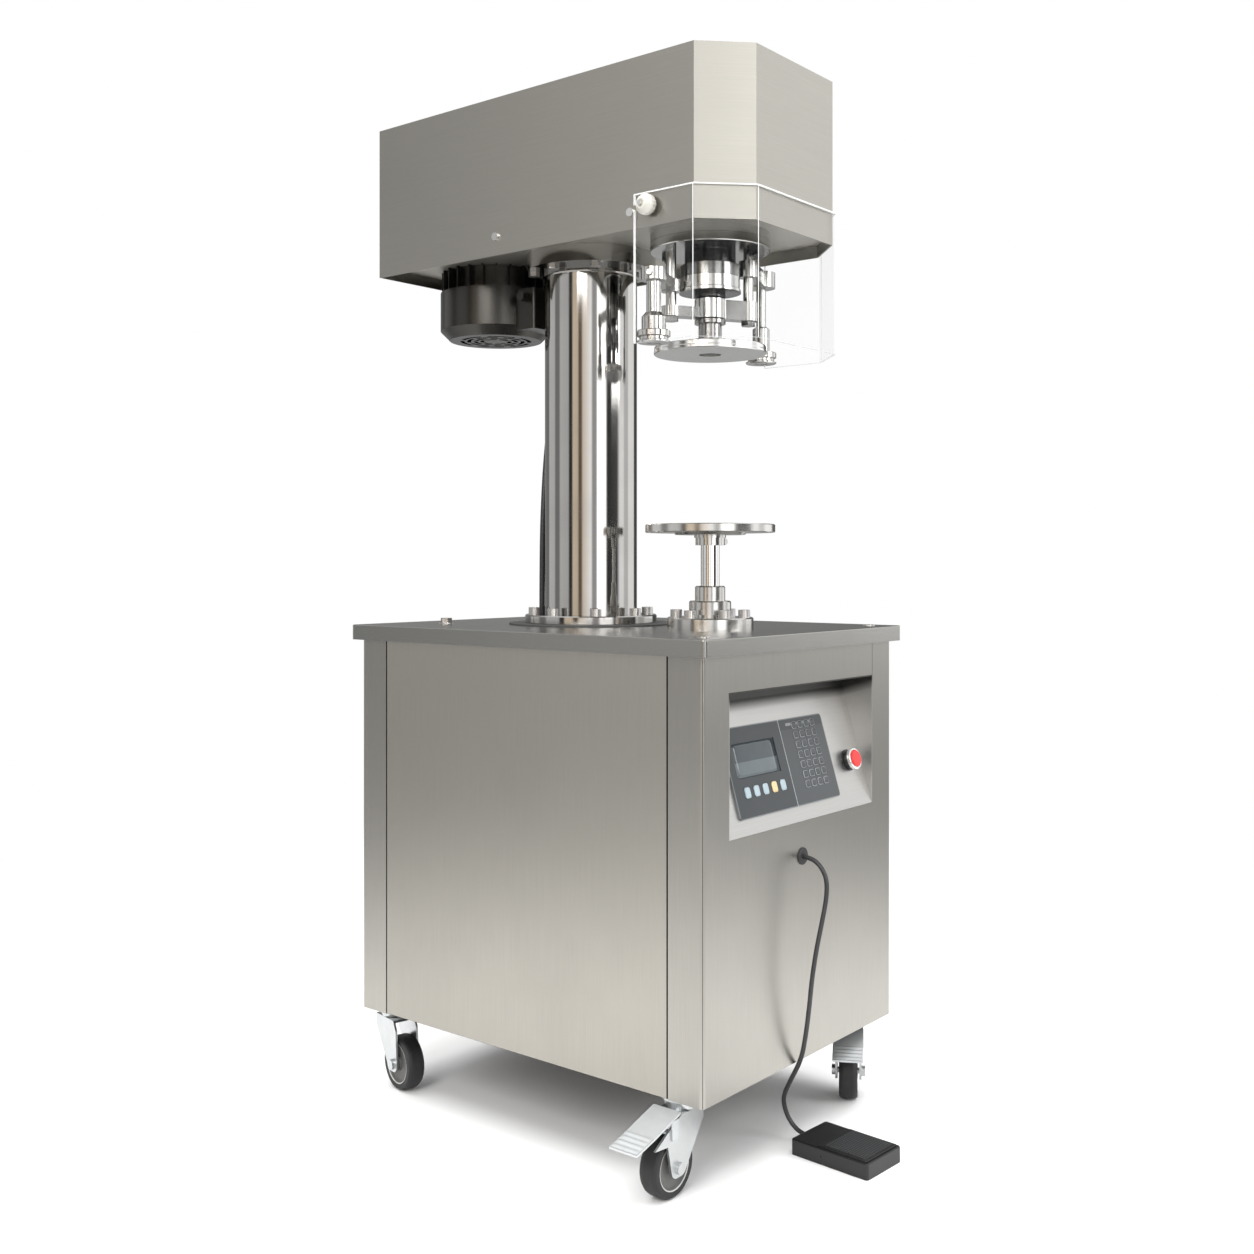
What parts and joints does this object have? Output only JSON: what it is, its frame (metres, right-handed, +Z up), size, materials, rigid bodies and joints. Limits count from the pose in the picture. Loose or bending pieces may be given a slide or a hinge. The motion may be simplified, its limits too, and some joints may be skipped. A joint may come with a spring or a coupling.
{
  "type": "can seamer",
  "caption": "Floor-standing can seamer: round plate lifts a can to a belt-driven chuck while swinging arms press seaming rollers to its rim, on a wheeled cabinet.",
  "frame": {"origin": "on the floor, below the middle of the machine's outline", "axes": "+Z up, the front of the machine faces -Y, +X is on the right for someone who looks at the machine's front"},
  "size_m": [0.544, 0.7713, 1.391],
  "materials": {
    "cabinet_frame": "fine brushed stainless steel",
    "side_panels": "fine brushed stainless steel",
    "rear_panel": "fine brushed stainless steel",
    "table_top": "fine brushed stainless steel",
    "control_recess": "fine brushed stainless steel",
    "control_plate": "matt film",
    "stop_bezel": "black",
    "cord_grommet": "matt",
    "control_box": "semi-gloss grey paint",
    "lift_housing": "turned steel",
    "lift_cylinder": "turned steel",
    "column": "polished",
    "column_gasket": "matt",
    "column_cap": "turned steel",
    "column_cable": "matt",
    "deck_screws": "turned steel",
    "head_base_plate": "turned steel",
    "head_cover": "fine brushed stainless steel",
    "head_screws": "turned steel",
    "motor_body": "dark grey motor paint",
    "fan_cover": "dark grey motor paint",
    "terminal_box": "dark grey motor paint",
    "bearing_housing": "turned steel",
    "spindle_bearings": "turned steel",
    "arm_flange": "turned steel",
    "nose_housing": "turned steel",
    "bridge_bars": "turned steel",
    "foot_switch_base": "black moulding",
    "pedal_cord": "matt",
    "castor_stems": "zinc plated",
    "drive_belt": "matt",
    "lift_shaft": "polished",
    "clamp_collar": "turned steel",
    "can_plate": "turned steel",
    "spindle_shaft": "turned steel",
    "spindle_pulley": "turned",
    "seaming_chuck": "turned steel",
    "motor_rotor": "turned steel",
    "motor_pulley": "turned",
    "left_arm": "turned steel",
    "left_pivot_rod": "turned steel",
    "right_arm": "turned steel",
    "right_pivot_rod": "turned steel",
    "left_roller": "turned steel",
    "right_roller": "turned steel",
    "head_guard": "clear sheet",
    "guard_knob_left": "white nylon",
    "guard_knob_right": "white nylon",
    "stop_button": "red",
    "foot_treadle": "black moulding",
    "front_left_fork": "zinc plated",
    "front_left_wheel": "black tread",
    "front_left_brake": "zinc plated",
    "front_right_fork": "zinc plated",
    "front_right_wheel": "black tread",
    "front_right_brake": "zinc plated",
    "rear_left_fork": "zinc plated",
    "rear_left_wheel": "black tread",
    "rear_right_fork": "zinc plated",
    "rear_right_wheel": "black tread"
  },
  "bodies": {
    "machine_frame": {"cabinet_frame": "cabinet_frame", "side_panels": "side_panels", "rear_panel": "rear_panel", "table_top": "table_top", "control_recess": "control_recess", "control_plate": "control_plate", "stop_bezel": "stop_bezel", "cord_grommet": "cord_grommet", "control_box": "control_box", "lift_housing": "lift_housing", "lift_cylinder": "lift_cylinder", "column": "column", "column_gasket": "column_gasket", "column_cap": "column_cap", "column_cable": "column_cable", "deck_screws": "deck_screws", "head_base_plate": "head_base_plate", "head_cover": "head_cover", "head_screws": "head_screws", "motor_body": "motor_body", "fan_cover": "fan_cover", "terminal_box": "terminal_box", "bearing_housing": "bearing_housing", "spindle_bearings": "spindle_bearings", "arm_flange": "arm_flange", "nose_housing": "nose_housing", "bridge_bars": "bridge_bars", "foot_switch_base": "foot_switch_base", "pedal_cord": "pedal_cord", "castor_stems": "castor_stems", "drive_belt": "drive_belt"},
    "lift": {"lift_shaft": "lift_shaft", "clamp_collar": "clamp_collar"},
    "plate": {"can_plate": "can_plate"},
    "spindle": {"spindle_shaft": "spindle_shaft", "spindle_pulley": "spindle_pulley", "seaming_chuck": "seaming_chuck"},
    "rotor": {"motor_rotor": "motor_rotor", "motor_pulley": "motor_pulley"},
    "left_swing_arm": {"left_arm": "left_arm", "left_pivot_rod": "left_pivot_rod"},
    "right_swing_arm": {"right_arm": "right_arm", "right_pivot_rod": "right_pivot_rod"},
    "left_seaming_roller": {"left_roller": "left_roller"},
    "right_seaming_roller": {"right_roller": "right_roller"},
    "guard": {"head_guard": "head_guard"},
    "left_knob": {"guard_knob_left": "guard_knob_left"},
    "right_knob": {"guard_knob_right": "guard_knob_right"},
    "button": {"stop_button": "stop_button"},
    "treadle": {"foot_treadle": "foot_treadle"},
    "front_left_swivel": {"front_left_fork": "front_left_fork"},
    "front_left_roll": {"front_left_wheel": "front_left_wheel"},
    "front_left_pedal": {"front_left_brake": "front_left_brake"},
    "front_right_swivel": {"front_right_fork": "front_right_fork"},
    "front_right_roll": {"front_right_wheel": "front_right_wheel"},
    "front_right_pedal": {"front_right_brake": "front_right_brake"},
    "rear_left_swivel": {"rear_left_fork": "rear_left_fork"},
    "rear_left_roll": {"rear_left_wheel": "rear_left_wheel"},
    "rear_right_swivel": {"rear_right_fork": "rear_right_fork"},
    "rear_right_roll": {"rear_right_wheel": "rear_right_wheel"}
  },
  "joints": [
    {"name": "lift_slide", "type": "slide", "parent": "machine_frame", "child": "lift", "axis": [0, 0, 1], "range_m": [0, 0.06]},
    {"name": "plate_spin", "type": "hinge", "parent": "lift", "child": "plate", "pos_m": [0.036, -0.1158, 0.79], "axis": [0, 0, 1], "continuous": true},
    {"name": "spindle_spin", "type": "hinge", "parent": "machine_frame", "child": "spindle", "pos_m": [0.036, -0.1158, 1.2], "axis": [0, 0, 1], "continuous": true},
    {"name": "rotor_spin", "type": "hinge", "parent": "machine_frame", "child": "rotor", "pos_m": [0.036, 0.2872, 1.2], "axis": [0, 0, 1], "continuous": true},
    {"name": "left_arm_swing", "type": "hinge", "parent": "machine_frame", "child": "left_swing_arm", "pos_m": [-0.013, -0.0868, 1.116], "axis": [0, 0, 1], "range_deg": [0, 36]},
    {"name": "right_arm_swing", "type": "hinge", "parent": "machine_frame", "child": "right_swing_arm", "pos_m": [0.085, -0.1448, 1.146], "axis": [0, 0, 1], "range_deg": [0, 36]},
    {"name": "left_roller_spin", "type": "hinge", "parent": "left_swing_arm", "child": "left_seaming_roller", "pos_m": [-0.088, -0.1158, 1.036], "axis": [0, 0, 1], "continuous": true},
    {"name": "right_roller_spin", "type": "hinge", "parent": "right_swing_arm", "child": "right_seaming_roller", "pos_m": [0.16, -0.1158, 1.036], "axis": [0, 0, 1], "continuous": true},
    {"name": "guard_slide", "type": "slide", "parent": "machine_frame", "child": "guard", "axis": [0, -1, 0], "range_m": [0, 0.028]},
    {"name": "left_knob_turn", "type": "hinge", "parent": "machine_frame", "child": "left_knob", "pos_m": [-0.124, -0.1288, 1.1975], "axis": [1, 0, 0], "continuous": true},
    {"name": "right_knob_turn", "type": "hinge", "parent": "machine_frame", "child": "right_knob", "pos_m": [0.196, -0.1288, 1.1975], "axis": [1, 0, 0], "continuous": true},
    {"name": "stop_button_press", "type": "slide", "parent": "machine_frame", "child": "button", "axis": [0, 0.9577, -0.2876], "range_m": [0, 0.004], "stiffness_N_per_m": 400, "springref_m": -0.001},
    {"name": "treadle_press", "type": "hinge", "parent": "machine_frame", "child": "treadle", "pos_m": [0.0344, -0.31632, 0.011], "axis": [0.9976, -0.0698, 0], "range_deg": [0, 3], "stiffness_Nm_per_rad": 3, "springref_deg": -2.86},
    {"name": "front_left_swivel_turn", "type": "hinge", "parent": "machine_frame", "child": "front_left_swivel", "pos_m": [-0.163, -0.2148, 0.097], "axis": [0, 0, 1], "continuous": true},
    {"name": "front_left_wheel_spin", "type": "hinge", "parent": "front_left_swivel", "child": "front_left_roll", "pos_m": [-0.191, -0.2148, 0.0375], "axis": [0, -1, 0], "continuous": true},
    {"name": "front_left_brake_press", "type": "hinge", "parent": "front_left_swivel", "child": "front_left_pedal", "pos_m": [-0.1996, -0.2148, 0.079], "axis": [0, -1, 0], "range_deg": [0, 12]},
    {"name": "front_right_swivel_turn", "type": "hinge", "parent": "machine_frame", "child": "front_right_swivel", "pos_m": [0.235, -0.2148, 0.097], "axis": [0, 0, 1], "continuous": true},
    {"name": "front_right_wheel_spin", "type": "hinge", "parent": "front_right_swivel", "child": "front_right_roll", "pos_m": [0.21051, -0.22837, 0.0375], "axis": [0.4848, -0.8746, 0], "continuous": true},
    {"name": "front_right_brake_press", "type": "hinge", "parent": "front_right_swivel", "child": "front_right_pedal", "pos_m": [0.20299, -0.23254, 0.079], "axis": [0.4848, -0.8746, 0], "range_deg": [0, 12]},
    {"name": "rear_left_swivel_turn", "type": "hinge", "parent": "machine_frame", "child": "rear_left_swivel", "pos_m": [-0.151, 0.3067, 0.097], "axis": [0, 0, 1], "continuous": true},
    {"name": "rear_left_wheel_spin", "type": "hinge", "parent": "rear_left_swivel", "child": "rear_left_roll", "pos_m": [-0.1573, 0.27942, 0.0375], "axis": [0.9744, -0.225, 0], "continuous": true},
    {"name": "rear_right_swivel_turn", "type": "hinge", "parent": "machine_frame", "child": "rear_right_swivel", "pos_m": [0.223, 0.3067, 0.097], "axis": [0, 0, 1], "continuous": true},
    {"name": "rear_right_wheel_spin", "type": "hinge", "parent": "rear_right_swivel", "child": "rear_right_roll", "pos_m": [0.23906, 0.28376, 0.0375], "axis": [0.8192, 0.5736, 0], "continuous": true}
  ],
  "couplings": [
    {"joint": "rotor_spin", "follows": "spindle_spin", "ratio": 1.5587}
  ]
}
